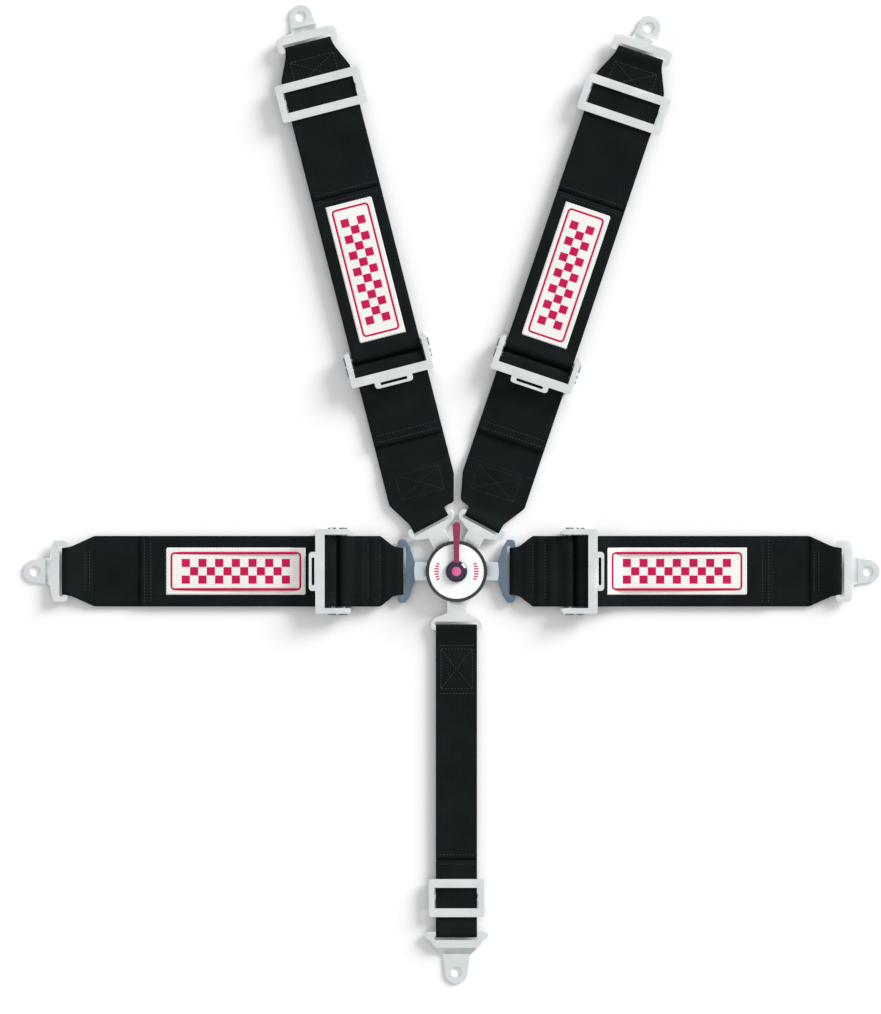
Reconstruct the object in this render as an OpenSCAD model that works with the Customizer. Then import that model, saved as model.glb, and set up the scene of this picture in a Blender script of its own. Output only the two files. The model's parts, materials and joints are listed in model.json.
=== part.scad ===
// Five-point harness with a round cam-lock buckle.
// Row frame: origin at the centre of the buckle's back face, +Z out of its face, +Y towards the
// shoulder straps. Every strap is drawn in its own frame: +X runs outward along the strap from
// the bar of its tongue, Y runs across it, Z is the row's Z.

/* [Webbing] */
// Width of the shoulder and lap webbing
web_w = 76.2; // [60:0.1:92]
// Width of the crotch webbing
crotch_w = 44.45; // [36:0.05:54]
// Width of the webbing where it is gathered through a slot
gather_w = 50.8; // [42:0.1:61]
// Width of the shoulder webbing where it is gathered through its tongue
shoulder_gather_w = 42; // [34:0.1:43]
// Thickness of one layer of webbing
web_t = 1.4; // [1:0.1:2]

/* [Buckle] */
// Diameter of the buckle
buckle_d = 66; // [64:0.5:80]
// Thickness of the back plate
back_t = 2.5; // [2:0.1:4]
// Thickness of the tongues
tongue_t = 3; // [2.4:0.1:4]
// Height of the housing above the tongues' slots
roof_t = 2.4; // [2:0.1:4]
// Depth of the space for the cam plate, latch pins and springs
cam_room = 8; // [7.5:0.1:12]
// Thickness of the cover's top
cover_t = 2; // [1.5:0.1:4]
// Width of the dark rim round the face
rim_w = 3.5; // [2.5:0.1:5]
// Diameter of the lever's hub
hub_d = 23.5; // [16:0.5:30]
// Reach of the lever from the buckle's centre
lever_reach = 53; // [40:1:64]
// Distance of the latch pins from the centre
pin_ring_r = 19.5; // [18.5:0.1:22]
// Diameter of a latch pin
latch_d = 5; // [4:0.1:5.6]
// Travel of a latch pin
latch_travel = 3.2; // [2.8:0.1:3.3]

/* [Tongues] */
// Distance from the buckle's centre to the webbing bar of a tongue
tongue_r = 61; // [58:0.5:75]
// Width of a tongue where it enters the buckle
neck_w = 20; // [16:0.5:22]
// Metal beside the webbing slot, lap tongues
lap_ear = 7.1; // [5:0.1:11]
// Metal beside the webbing slot, shoulder tongues
shoulder_ear = 4.5; // [3.5:0.1:5.5]
// Metal beside the webbing slot, crotch tongue
crotch_ear = 3.8; // [3:0.1:9]

/* [Straps] */
// Angle of the shoulder tongues from straight up
shoulder_tongue_a = 28.2; // [28:0.1:31]
// Angle of the left shoulder strap from straight up
left_shoulder_a = 14.3; // [10:0.1:20]
// Angle of the right shoulder strap from straight up
right_shoulder_a = 18.6; // [10:0.1:22]
// Tongue bar to bolt hole, shoulder straps
shoulder_len = 563; // [520:1:680]
// Tongue bar to bolt hole, left lap strap
left_lap_len = 394; // [370:1:480]
// Tongue bar to bolt hole, right lap strap
right_lap_len = 384; // [370:1:480]
// Tongue bar to bolt hole, crotch strap
crotch_len = 372; // [330:1:470]
// Tongue bar to the adjuster's front bar, shoulder straps
shoulder_adjuster_x = 164; // [150:1:195]
// Tongue bar to the adjuster's front bar, lap straps
lap_adjuster_x = 86; // [84:1:100]
// Length of the shoulder strap's free tail past the front bar
shoulder_tail = 73; // [60:1:85]
// Length of the lap strap's free tail past the front bar
lap_tail = 195; // [180:1:200]
// Bolt hole back to the middle of the three-bar slide, shoulder straps
shoulder_slide_back = 88; // [80:1:110]
// Bolt hole back to the middle of the three-bar slide, crotch strap
crotch_slide_back = 80.5; // [76:0.5:100]
// Length of the sewn patch
patch_l = 152; // [120:1:156]
// Width of the sewn patch
patch_w = 52; // [40:1:60]
// Thickness of the sewn patch
patch_t = 0.8; // [0.5:0.1:1.2]

/* [Hardware] */
// Thickness of stamped steel plate
plate_t = 2.5; // [2:0.1:3]
// Diameter of an anchor bolt hole
bolt_hole_d = 11.5; // [9:0.1:13]
// Width of an anchor bracket's bolt tab
tab_w = 25; // [22:0.5:32]
// Bolt hole back to the webbing bar of an anchor bracket
bracket_back = 33; // [31:0.5:40]
// Bolt hole back to the webbing bar of the crotch strap's bracket
crotch_bracket_back = 41.5; // [40:0.5:48]
// Radius of an adjuster's knurled bar
knurl_r = 3.6; // [3:0.1:4]
// Radius of an adjuster's fixed pin
fixed_pin_r = 3; // [2.5:0.1:3.5]
// Length of an adjuster's side plate along the strap
side_l = 38; // [36:0.5:44]
// Width of an adjuster's front bar along the strap
front_bar_w = 10; // [8:0.5:12]
// Outer size of a three-bar slide along the strap
slide_l = 41; // [38:0.5:48]
// Width of each bar of a three-bar slide
slide_bar_w = 9.4; // [7:0.1:10]
// Metal of a three-bar slide beside the webbing, shoulder straps
slide_side = 8.9; // [6:0.1:10]
// Metal of a three-bar slide beside the webbing, crotch strap
crotch_slide_side = 7.8; // [6:0.1:10]
// Metal of an anchor bracket beside the webbing slot
bracket_side = 6.1; // [5:0.1:10]
// Metal of the crotch bracket beside the webbing slot
crotch_bracket_side = 10.3; // [5:0.1:12]

/* [Hidden] */
$fn = 48;
BIG = 400;
gap = 0.3;                         // air between parts that pass each other
fit = 0.05;                        // radial clearance of a running fit

buckle_r = buckle_d / 2;
slot_z = back_t + 2.5;             // floor of the tongues' slots
slot_h = tongue_t + 0.6;
tongue_z = slot_z + gap;
tongue_mid_z = tongue_z + tongue_t / 2;
roof_z = slot_z + slot_h;
deck_z = roof_z + roof_t;          // floor of the cam room
room_top = deck_z + cam_room;
cover_z = room_top + cover_t;      // seat of the face disc
face_t = 0.8;
face_top = cover_z + face_t;
rim_lip = 0.3;                     // how far the rim stands above the face
hub_z = face_top + gap;
lever_z = hub_z + 1.2;
lever_t = 3;
hub_h = 5;
shaft_r = 5;
cam_seat_r = 4;                    // the shaft steps down to this inside the cam plate
wall = 3.5;                        // wall of the cover round the cam room
screw_r = buckle_r - 5;
collar_r = latch_d / 2 + 2;
collar_t = 1.2;
cam_z = deck_z + 0.4;
cam_t = latch_travel - 0.6;
collar_z = deck_z + 0.2 + latch_travel;
pin_low = roof_z + 0.2;            // underside of a drawn-back latch pin
cam_r = pin_ring_r - latch_d / 2 - 0.5;

lap_r_a = 0;
lap_l_a = 180;
sh_r_a = 90 - shoulder_tongue_a;
sh_l_a = 90 + shoulder_tongue_a;
crotch_a = 270;
tongue_angles = [lap_r_a, sh_r_a, sh_l_a, lap_l_a, crotch_a];
latched_angles = [lap_r_a, sh_r_a, sh_l_a, crotch_a];
screw_angles = [sh_r_a / 2, 180 - sh_r_a / 2, 225, 315];

// webbing bars and the loops round them
bar_w = 5;                         // plate left for a webbing bar
loop_in = 3.25;                    // inner radius of a webbing loop
loop_out = loop_in + web_t;
slot_w = 4;                        // width of a webbing slot along the strap
slot_to_bend = 7.5;                // plate of a bracket between its slot and its bend
// Where a bracket's plate narrows to its tab, measured from the bend
short_narrow = [0, 3];
long_narrow = [-8, 10];
slot_play = 3;                     // how much longer a slot is than its webbing is wide
lap_slot = gather_w + slot_play;
shoulder_slot = shoulder_gather_w + slot_play;
crotch_slot = crotch_w + slot_play;
ear_r = 4;                         // corner radius of a tongue's ears
screw_r_small = 1.6;               // holes for the housing and hub screws
tongue_screw_r = 2.05;             // screw that holds the fixed tongue
ply2 = 2 * web_t;                  // two layers sewn together

// heights along a strap, from the floor up
low_z = 3.5;                       // underside of the layer that runs through the adjuster
low_top = low_z + web_t;
knurl_in = knurl_r + gap;
journal_r = knurl_r - 0.6;         // the knurled bar's plain ends, in the side plates
knurl_out = knurl_in + web_t;
knurl_z = low_top + 0.4 + knurl_out;
tail_z = knurl_z + knurl_in;       // underside of the tail over the knurled bar
front_z = tail_z + web_t + gap;    // underside of the front bar
front_t = 3;
pin_in = fixed_pin_r + gap;
pin_out = pin_in + web_t;
knurl_x = -13;                     // from the front bar, away from its tab
fixed_x = -25;
release = 1.2;                     // how far the knurled bar slides back to let webbing through
high_mid = knurl_z;                // middle of the layers that leave the fixed pin

adj_in = web_w + 3;                // clear width between the side plates
side_t = 3;
adj_w = adj_in + 2 * side_t;
flange_w = 6;                      // width of the side plates' top flanges
flange_t = 2;
head_t = 4.5;                      // pin heads that stand out of the side plates
drop_x = front_bar_w / 2 + 3;      // the tail starts down here
drop_l = 24;
shoulder_patch_x = 280;
shoulder_reserve = 30;             // webbing that runs on past the knurled bar, for adjustment
lap_reserve = 12;
strap_gap = 2.8;                   // half the gap between the shoulder straps where they meet
full_x = (web_w / 2 * cos(left_shoulder_a) + strap_gap - tongue_r * sin(shoulder_tongue_a))
  / sin(left_shoulder_a);          // the lower webbing reaches its full width here, inside
outer_x = 27;                      // and here on its outer edge
knee_x = 14;                       // its inner edge turns in to the tongue here
knee_w = (tongue_r * sin(shoulder_tongue_a) - strap_gap + knee_x * sin(left_shoulder_a))
  / cos(left_shoulder_a);
seam_x = full_x + 18;              // and is double up to here
patch_from_bar = patch_l / 2 + 15; // middle of a lap strap's patch from its front bar

steel = "#d9e2e6";
web_black = "#15191a";

// ---------- shared shapes ----------

module at_angle(a) { rotate([0, 0, a]) children(); }

// a shape drawn as (x, z), pulled out to width w across the strap
module across(w, y = 0) {
  translate([0, y + w / 2, 0]) rotate([90, 0, 0]) linear_extrude(w) children();
}

// side view of a layer: its middle line as [x, z] points and its thickness
module layer(points, t) {
  n = len(points);
  polygon(concat(
    [for (p = points) [p[0], p[1] + t / 2]],
    [for (i = [n - 1:-1:0]) [points[i][0], points[i][1] - t / 2]]));
}

// points along an arc from angle a0 to a1
function arc(x, z, r, a0, a1, n = 16) =
  [for (i = [0:n]) let (a = a0 + (a1 - a0) * i / n) [x + r * cos(a), z + r * sin(a)]];

// An eye is a webbing loop round a bar: [x, z of the bar, inner radius, run, middle height
// where its two layers meet, run away from the bar].

// outline of an eye at the start of a strap, from its lower meeting point to its upper one
function start_eye(e) = concat([[e[0] + e[3], e[4] - web_t]],
  arc(e[0], e[1], e[2] + web_t, 270, 90), [[e[0] + e[3], e[4] + web_t]]);

// outline of an eye at the end of a strap, from its upper meeting point to its lower one
function end_eye(e) = concat([[e[0] - e[3], e[4] + web_t]],
  arc(e[0], e[1], e[2] + web_t, 90, -90), [[e[0] - e[3], e[4] - web_t]]);

// the open inside of an eye: a round hole for the bar, and a wedge where its two layers meet;
// side is 1 at the start of a strap and -1 at its end
module eye_hole(e, side) {
  union() {
    translate([e[0], e[1]]) circle(e[2] + 0.02);
    polygon(concat(arc(e[0], e[1], e[2], 90, 90 + side * 180),
      [[e[0] + side * (e[3] - 1.5), e[4]]]));
  }
}

// side view of a strap of two layers with an eye at each end
module two_eyes(e0, e1) {
  difference() {
    polygon(concat(start_eye(e0), end_eye(e1)));
    eye_hole(e0, 1);
    eye_hole(e1, -1);
  }
}

// plan of a strap: gathered ends, full width between them
module strap_plan(x0, x1, w, narrow0, narrow1, run0, run1) {
  hold = 9;                        // straight stretch round a bar
  polygon([[x0, -narrow0 / 2], [x0 + hold, -narrow0 / 2], [x0 + run0, -w / 2],
    [x1 - run1, -w / 2], [x1 - hold, -narrow1 / 2], [x1, -narrow1 / 2],
    [x1, narrow1 / 2], [x1 - hold, narrow1 / 2], [x1 - run1, w / 2],
    [x0 + run0, w / 2], [x0 + hold, narrow0 / 2], [x0, narrow0 / 2]]);
}

module in_plan() {
  intersection() {
    linear_extrude(60) children(0);
    children(1);
  }
}

// rounded plan rectangle with corner radius r, from its middle
module rounded(l, w, r) {
  union() {
    square([l - 2 * r, w], center = true);
    square([l, w - 2 * r], center = true);
    for (sx = [-1, 1], sy = [-1, 1]) translate([sx * (l / 2 - r), sy * (w / 2 - r)]) circle(r);
  }
}

// round wire wound as a helix on +Z
module coil(r, wire_r, height, turns) {
  sides = 6;
  steps = 14 * turns;
  points = [for (i = [0:steps], k = [0:sides - 1])
    let (a = 360 * turns * i / steps, b = 360 * k / sides, q = r + wire_r * cos(b))
    [q * cos(a), q * sin(a), wire_r + (height - 2 * wire_r) * i / steps + wire_r * sin(b)]];
  faces = concat(
    [[for (k = [0:sides - 1]) k]],
    [for (i = [0:steps - 1], k = [0:sides - 1])
      let (j = (k + 1) % sides, a = i * sides, b = a + sides) [a + k, b + k, b + j, a + j]],
    [[for (k = [sides - 1:-1:0]) steps * sides + k]]);
  polyhedron(points, faces);
}

// ---------- buckle ----------

module tongue_plan(grow = 0) {
  nose_w = 11;
  neck_end = tongue_r - bar_w / 2 - slot_w - 5;
  polygon([[13.5 - grow, -nose_w / 2 - grow], [23, -neck_w / 2 - grow],
    [neck_end, -neck_w / 2 - grow], [neck_end, neck_w / 2 + grow],
    [23, neck_w / 2 + grow], [13.5 - grow, nose_w / 2 + grow]]);
}

module buckle_back_plate() {
  color(steel) difference() {
    cylinder(h = back_t, r = buckle_r - 1);
    for (a = screw_angles) at_angle(a) translate([screw_r, 0, -1]) cylinder(h = BIG, r = screw_r_small);
    at_angle(lap_l_a) translate([pin_ring_r, 0, -1]) cylinder(h = BIG, r = tongue_screw_r + fit);
  }
}

module buckle_housing() {
  color("#202326") difference() {
    translate([0, 0, back_t]) cylinder(h = deck_z - back_t, r = buckle_r - 0.6);
    for (a = tongue_angles) at_angle(a) translate([0, 0, slot_z]) linear_extrude(slot_h)
      tongue_plan(gap);
    for (a = latched_angles) at_angle(a) translate([pin_ring_r, 0, slot_z + 1])
      cylinder(h = BIG, r = latch_d / 2 + fit);
    for (a = screw_angles) at_angle(a) translate([screw_r, 0, 0]) cylinder(h = BIG, r = screw_r_small);
    at_angle(lap_l_a) translate([pin_ring_r, 0, 0]) cylinder(h = BIG, r = tongue_screw_r + fit);
  }
}

module buckle_cover() {
  color("#15181a") difference() {
    translate([0, 0, deck_z]) cylinder(h = face_top + rim_lip - deck_z, r = buckle_r);
    translate([0, 0, deck_z - 1]) cylinder(h = cam_room + 1, r = buckle_r - wall);
    translate([0, 0, cover_z]) cylinder(h = BIG, r = buckle_r - rim_w);
    cylinder(h = BIG, r = shaft_r + fit);
  }
}

module buckle_face_disc() {
  color("#f4f4f2") translate([0, 0, cover_z]) difference() {
    cylinder(h = face_t, r = buckle_r - rim_w - 0.05);
    translate([0, 0, -1]) cylinder(h = 3, r = shaft_r + 0.5);
  }
}

module housing_screws() {
  color(steel) for (a = screw_angles) at_angle(a) translate([screw_r, 0, 0.6])
    cylinder(h = deck_z - 1, r = screw_r_small - fit);
}

module latch_springs() {
  color("silver") for (a = latched_angles) at_angle(a)
    translate([pin_ring_r, 0, collar_z + collar_t + 0.1])
      coil(2.9, 0.4, room_top - collar_z - collar_t - 0.15, 3);
}

module lever_return_spring() {
  color("silver") translate([0, 0, cam_z + cam_t + 0.6])
    coil(shaft_r + 2.2, 0.6, room_top - cam_z - cam_t - 0.7, 3);
}

module fixed_tongue_screw() {
  color(steel) at_angle(lap_l_a) translate([pin_ring_r, 0, 0.4]) union() {
    cylinder(h = deck_z - 0.4, r = tongue_screw_r);
    translate([0, 0, deck_z - 0.4]) cylinder(h = 2, r = 2.7);
  }
}

module cam_plate() {
  color("#9aa3a8") translate([0, 0, cam_z]) difference() {
    cylinder(h = cam_t, r = cam_r);
    translate([0, 0, -1]) cylinder(h = 20, r = cam_seat_r);
    for (a = latched_angles) at_angle(a) translate([pin_ring_r, 0, -1])
      cylinder(h = 20, r = collar_r + gap);
  }
}

module lever_hub() {
  color("#1c2030") union() {
    difference() {
      translate([0, 0, cam_z + cam_t]) cylinder(h = hub_z - cam_z - cam_t, r = shaft_r);
      translate([0, 0, lever_z - 8]) cylinder(h = BIG, r = screw_r_small);
    }
    translate([0, 0, cam_z]) cylinder(h = cam_t, r = cam_seat_r - fit);
    difference() {
      translate([0, 0, hub_z]) rotate_extrude()
        polygon([[0, 0], [hub_d / 2 - 1, 0], [hub_d / 2, 1.2], [hub_d / 2 - 0.6, 3],
          [hub_d / 2 - 2.8, 4.4], [hub_d / 2 - 5, hub_h], [0, hub_h]]);
      cylinder(h = BIG, r = screw_r_small);
      translate([-3.2, 0, lever_z]) cube([6.4, hub_d, lever_t + 0.02]);
    }
  }
}

module lever() {
  color("#c0142c") difference() {
    translate([0, 0, lever_z]) linear_extrude(lever_t) union() {
      polygon([[-2.7, 2.4], [2.7, 2.4], [2.9, 24], [4.1, lever_reach - 4.1],
        [-4.1, lever_reach - 4.1], [-2.9, 24]]);
      translate([0, lever_reach - 4.1]) circle(4.1);
    }
    cylinder(h = BIG, r = screw_r_small);
  }
}

module hub_screw() {
  color("#d0506a") union() {
    translate([0, 0, lever_z - 7])
      cylinder(h = hub_z + hub_h - lever_z + 7, r = screw_r_small - fit);
    translate([0, 0, hub_z + hub_h]) cylinder(h = 1.6, r = 5);
  }
}

module latch_pin(a) {
  color(steel) at_angle(a) translate([pin_ring_r, 0, 0]) union() {
    translate([0, 0, pin_low]) cylinder(h = collar_z - pin_low, r = latch_d / 2);
    translate([0, 0, collar_z]) cylinder(h = collar_t, r = collar_r);
    translate([0, 0, collar_z + collar_t]) cylinder(h = 1.4, r = 1.9);
  }
}

// ---------- tongues ----------

// plan of a tongue's plate: shoulders that spread from the neck to the ears
module plate_plan(w, root_w, start_x) {
  end_x = tongue_r + bar_w / 2;
  union() {
    polygon([[start_x - 5, -neck_w / 2], [start_x, -root_w / 2], [start_x + 5, -w / 2],
      [end_x - ear_r, -w / 2], [end_x - ear_r, w / 2], [start_x + 5, w / 2],
      [start_x, root_w / 2], [start_x - 5, neck_w / 2]]);
    translate([end_x - ear_r - 1, -w / 2 + ear_r]) square([ear_r + 1, w - 2 * ear_r]);
    for (sy = [-1, 1]) translate([end_x - ear_r, sy * (w / 2 - ear_r)]) circle(ear_r);
  }
}

// slot_len is the slot's length, ear the metal beside it, step how far the plate widens there
module tongue(a, slot_len, ear, step, latched) {
  start_x = tongue_r - bar_w / 2 - slot_w - 4.5;
  w = slot_len + 2 * ear;
  color(steel) at_angle(a) translate([0, 0, tongue_z]) difference() {
    linear_extrude(tongue_t) difference() {
      union() {
        tongue_plan();
        plate_plan(w, w - 2 * step, start_x);
      }
      translate([tongue_r - bar_w / 2 - slot_w / 2, 0]) rounded(slot_w, slot_len, 1.5);
    }
    translate([pin_ring_r, 0, -1])
      cylinder(h = tongue_t + 2, r = latched ? latch_d / 2 + 0.4 : tongue_screw_r + fit);
  }
}

// ---------- adjusters ----------

// x is the front bar's place on the strap; dir is +1 when its tab points outward
module in_adjuster(x, dir) { translate([x, 0, 0]) rotate([0, 0, dir > 0 ? 0 : 180]) children(); }

module adjuster_frame() {
  color(steel) union() {
    difference() {
      for (s = [-1, 1]) across(side_t, s * (adj_in + side_t) / 2)
        polygon([[front_bar_w / 2 - 1, front_z + front_t], [-side_l + 8, front_z + front_t],
          [-side_l + front_bar_w / 2 - 2, front_z - 4], [-side_l + front_bar_w / 2 - 2, 4],
          [-side_l + 9, 0], [front_bar_w / 2 - 4, 0], [front_bar_w / 2 - 1, 5]]);
      across(BIG) translate([fixed_x, knurl_z]) circle(fixed_pin_r + fit);
      across(BIG) union() {
        for (x = [knurl_x, knurl_x - release]) translate([x, knurl_z]) circle(journal_r + fit);
        translate([knurl_x - release, knurl_z - journal_r - fit])
          square([release, 2 * (journal_r + fit)]);
      }
    }
    for (s = [-1, 1])
      translate([(front_bar_w - side_l) / 2, s * (adj_in + flange_w) / 2, front_z + front_t - flange_t])
        linear_extrude(flange_t) rounded(side_l, flange_w, 2.4);
    translate([0, 0, front_z]) linear_extrude(front_t) difference() {
      union() {
        rounded(front_bar_w, adj_in + 2 * flange_w, 2);
        translate([front_bar_w / 2 + 0.5, 0]) rounded(13, 42, 3.5);
      }
      translate([front_bar_w / 2 + 2.5, 0]) rounded(3, 30, 1.4);
    }
  }
}

module knurled_bar() {
  color("#b9c3c9") union() {
    across(adj_in - 1) translate([knurl_x, knurl_z]) circle(knurl_r);
    across(adj_w + 2 * head_t) translate([knurl_x, knurl_z]) circle(journal_r);
    for (s = [-1, 1]) across(head_t - gap, s * (adj_w / 2 + gap + (head_t - gap) / 2))
      translate([knurl_x, knurl_z]) circle(knurl_r + 1);
  }
}

module fixed_pin() {
  color("#7f898f") union() {
    across(adj_w + 2 * head_t) translate([fixed_x, knurl_z]) circle(fixed_pin_r);
    for (s = [-1, 1]) across(head_t - gap, s * (adj_w / 2 + gap + (head_t - gap) / 2))
      translate([fixed_x, knurl_z]) circle(fixed_pin_r + 1.5);
  }
}

// middle line of the tail, from the top of the knurled bar to its end
function tail_line(length, rest_z, lift = 0) = [
  [knurl_x, tail_z + web_t / 2 + lift], [drop_x, tail_z + web_t / 2 + lift],
  [drop_x + drop_l, rest_z + gap + web_t / 2 + lift], [length, rest_z + gap + web_t / 2 + lift]];

// fold round the knurled bar and the tail that leaves it under the front bar;
// rest_z is the height of the layer that the tail comes to lie on
module tail(length, rest_z) {
  line = tail_line(length, rest_z);
  color(web_black) across(web_w) polygon(concat(
    arc(knurl_x, knurl_z, knurl_in, 90, 270), arc(knurl_x, knurl_z, knurl_out, 270, 90),
    [for (i = [1:3]) [line[i][0], line[i][1] + web_t / 2]],
    [for (i = [3:-1:1]) [line[i][0], line[i][1] - web_t / 2]]));
}

// patch sewn on a lap strap's tail, following its slope; drawn from the front bar
module tail_patch(rest_z) {
  line = tail_line(lap_tail, rest_z, web_t / 2 + patch_t / 2);
  color("#f3f3f0") intersection() {
    translate([patch_from_bar, 0, 0]) linear_extrude(60) rounded(patch_l, patch_w, 2);
    across(patch_w + 2) layer(line, patch_t);
  }
}

// ---------- slides and brackets ----------

// three-bar slide: outer bars over the webbing, middle bar under it
module slide(x, w, z_low, z_high, beside) {
  side = 3;
  across_w = w + 2 * beside;
  color(steel) translate([x, 0, 0]) union() {
    difference() {
      translate([0, 0, z_high + gap]) linear_extrude(plate_t) rounded(slide_l, across_w, 3);
      translate([0, 0, z_high]) linear_extrude(10)
        square([slide_l - 2 * slide_bar_w, w + 3], center = true);
    }
    translate([0, 0, z_low - gap - plate_t]) linear_extrude(plate_t)
      square([slide_bar_w - 2, across_w - 2], center = true);
    for (s = [-1, 1]) across(side, s * (across_w / 2 - side / 2 - 0.3))
      translate([0, (z_low + z_high) / 2])
        square([slide_bar_w + 6, z_high - z_low + 2 * gap + plate_t], center = true);
  }
}

// anchor bracket: a webbing bar at height z, a bend down, and a bolt tab on the floor
module bracket(x, z, inner_w, beside, back, narrow) {
  outer_w = inner_w + 2 * beside;
  bar_x = x - back;
  bend0 = bar_x + slot_w + bar_w / 2 + slot_to_bend;
  narrow0 = bend0 + narrow[0];
  narrow1 = bend0 + narrow[1];
  bend1 = bend0 + 7;
  z0 = z - plate_t / 2;
  color(steel) intersection() {
    linear_extrude(60) difference() {
      union() {
        translate([(bar_x - bar_w / 2 + narrow0) / 2, 0])
          rounded(narrow0 - bar_x + bar_w / 2, outer_w, 4);
        polygon([[narrow0 - 4, -outer_w / 2 + 4], [narrow0, -outer_w / 2 + 4],
          [narrow1, -tab_w / 2 - 2], [x, -tab_w / 2], [x, tab_w / 2], [narrow1, tab_w / 2 + 2],
          [narrow0, outer_w / 2 - 4], [narrow0 - 4, outer_w / 2 - 4]]);
        translate([x, 0]) circle(tab_w / 2);
      }
      translate([bar_x + bar_w / 2 + slot_w / 2, 0]) square([slot_w, inner_w], center = true);
      translate([x, 0]) circle(bolt_hole_d / 2);
    }
    across(BIG) polygon([[bar_x - 20, z0], [bend0, z0], [bend1, 0], [x + 40, 0],
      [x + 40, plate_t], [bend1 + 1, plate_t], [bend0 + 1, z0 + plate_t],
      [bar_x - 20, z0 + plate_t]]);
  }
}

module patch(x, z) {
  color("#f3f3f0") translate([x, 0, z]) linear_extrude(patch_t) rounded(patch_l, patch_w, 2);
}

// ---------- placing the straps ----------

function on_circle(r, a) = [r * cos(a), r * sin(a), 0];

module on_strap(tongue_a, strap_a) {
  translate(on_circle(tongue_r, tongue_a)) rotate([0, 0, strap_a]) children();
}
module on_left_shoulder() { on_strap(sh_l_a, 90 + left_shoulder_a) children(); }
module on_right_shoulder() { on_strap(sh_r_a, 90 - right_shoulder_a) children(); }
module on_left_lap() { on_strap(lap_l_a, 180) children(); }
module on_right_lap() { on_strap(lap_r_a, 0) children(); }
module on_crotch() { on_strap(crotch_a, 270) children(); }

// ---------- shoulder straps ----------

// skew is the angle from the strap to its tongue, drawn for the left strap
module shoulder_lower_webbing(skew) {
  end_x = shoulder_adjuster_x - knurl_x + shoulder_reserve;
  run = 10;
  c = cos(skew);
  n = sin(skew);
  h = shoulder_gather_w / 2 + 1.2;
  deep = run + 1;
  sink = 0.2;                      // how far the eye tapers into the flat layers
  root = [[deep * c + h * n, deep * n - h * c], [deep * c - h * n, deep * n + h * c]];
  eye = [0, tongue_mid_z, loop_in, run, low_z + web_t];
  color(web_black) mirror([0, 1, 0]) union() {
    rotate([0, 0, skew]) across(shoulder_gather_w) difference() {
      polygon(concat([[run + 3, low_z + sink]], start_eye(eye), [[run + 3, low_z + ply2 - sink]]));
      eye_hole(eye, 1);
    }
    translate([0, 0, low_z]) linear_extrude(ply2)
      polygon([root[0], [outer_x, -web_w / 2], [seam_x, -web_w / 2], [seam_x, web_w / 2],
        [full_x, web_w / 2], [knee_x, knee_w], root[1]]);
    translate([seam_x - 1, -web_w / 2, low_z]) cube([end_x - seam_x + 1, web_w, web_t]);
  }
}

module shoulder_webbing() {
  start_x = shoulder_adjuster_x - fixed_x;
  bar_x = shoulder_len - bracket_back;
  color(web_black) in_plan() {
    strap_plan(start_x - pin_out - 1, bar_x + loop_out + 1, web_w, web_w, gather_w, 10, 34);
    across(web_w + 2) two_eyes([start_x, knurl_z, pin_in, 9, high_mid],
      [bar_x, high_mid, loop_in, 10, high_mid]);
  }
}

// ---------- lap straps ----------

module lap_short_webbing() {
  end_x = lap_adjuster_x + fixed_x;
  color(web_black) in_plan() {
    strap_plan(-loop_out - 1, end_x + pin_out + 1, web_w, gather_w, web_w, 33, 10);
    across(web_w + 2) two_eyes([0, tongue_mid_z, loop_in, 12, tongue_mid_z + 0.6],
      [end_x, knurl_z, pin_in, 10, high_mid]);
  }
}

module lap_webbing(length) {
  start_x = lap_adjuster_x + knurl_x - lap_reserve;
  bar_x = length - bracket_back;
  eye = [bar_x, low_z + loop_out, loop_in, 26, low_z + web_t];
  color(web_black) in_plan() {
    strap_plan(start_x, bar_x + loop_out + 1, web_w, web_w, gather_w, 10, 36);
    across(web_w + 2) difference() {
      polygon(concat([[start_x, low_z], [start_x, low_top], [bar_x - 30, low_top],
        [bar_x - 30, low_z + ply2]], end_eye(eye)));
      eye_hole(eye, -1);
    }
  }
}

// ---------- crotch strap ----------

module crotch_webbing() {
  bar_x = crotch_len - crotch_bracket_back;
  color(web_black) across(crotch_w) two_eyes([0, tongue_mid_z, loop_in, 14, tongue_mid_z],
    [bar_x, tongue_mid_z, loop_in, 14, tongue_mid_z]);
}

module shoulder_adjuster() { in_adjuster(shoulder_adjuster_x, -1) children(); }
module lap_adjuster() { in_adjuster(lap_adjuster_x, 1) children(); }

buckle_back_plate();
buckle_housing();
buckle_cover();
buckle_face_disc();
housing_screws();
latch_springs();
lever_return_spring();
fixed_tongue_screw();
lever();
lever_hub();
hub_screw();
cam_plate();
latch_pin(lap_r_a);  // right_lap_latch_pin
latch_pin(sh_r_a);  // right_shoulder_latch_pin
latch_pin(sh_l_a);  // left_shoulder_latch_pin
latch_pin(crotch_a);  // crotch_latch_pin
tongue(lap_r_a, lap_slot, lap_ear, 8, true);  // right_lap_tongue
tongue(sh_r_a, shoulder_slot, shoulder_ear, 4, true);  // right_shoulder_tongue
tongue(sh_l_a, shoulder_slot, shoulder_ear, 4, true);  // left_shoulder_tongue
tongue(lap_l_a, lap_slot, lap_ear, 8, false);  // left_lap_tongue
tongue(crotch_a, crotch_slot, crotch_ear, 4.5, true);  // crotch_tongue
on_right_shoulder()  // right_shoulder_lower_webbing
  mirror([0, 1, 0]) shoulder_lower_webbing(right_shoulder_a - shoulder_tongue_a);
on_right_shoulder()  // right_shoulder_adjuster_frame
  shoulder_adjuster() adjuster_frame();
on_right_shoulder()  // right_shoulder_knurled_bar
  shoulder_adjuster() knurled_bar();
on_right_shoulder()  // right_shoulder_fixed_pin
  shoulder_adjuster() fixed_pin();
on_right_shoulder()  // right_shoulder_tail
  shoulder_adjuster() tail(shoulder_tail, low_z + ply2);
on_right_shoulder() shoulder_webbing();  // right_shoulder_webbing
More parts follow.
